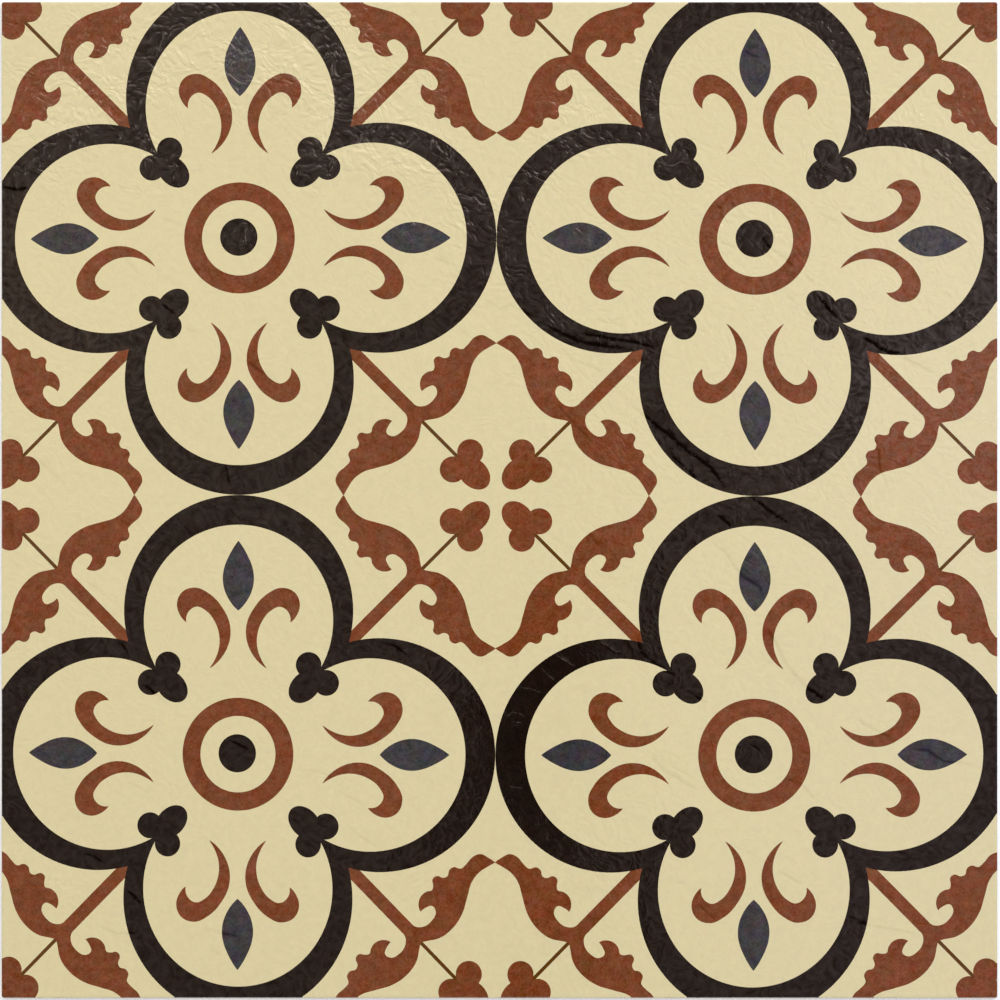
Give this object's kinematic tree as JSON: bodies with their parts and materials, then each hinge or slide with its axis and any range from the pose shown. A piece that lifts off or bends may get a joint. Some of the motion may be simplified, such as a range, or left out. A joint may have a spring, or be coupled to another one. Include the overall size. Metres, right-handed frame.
{
  "type": "vinyl floor tile",
  "caption": "Square flexible floor tile die-cut from filled vinyl sheet, with a rolled rim, an embossed wear face printed with a traditional ornament, and a flat bond face.",
  "frame": {"origin": "middle of the bond face, on the surface the tile is laid on", "axes": "+Z out of the wear face, +X along the picture's lower side to the right, +Y towards the picture's top"},
  "size_m": [0.305, 0.305, 0.0015],
  "materials": {
    "vinyl": "satin, embossed, with the print under its clear wear layer"
  },
  "bodies": {
    "root": {"tile": "vinyl"}
  },
  "joints": []
}
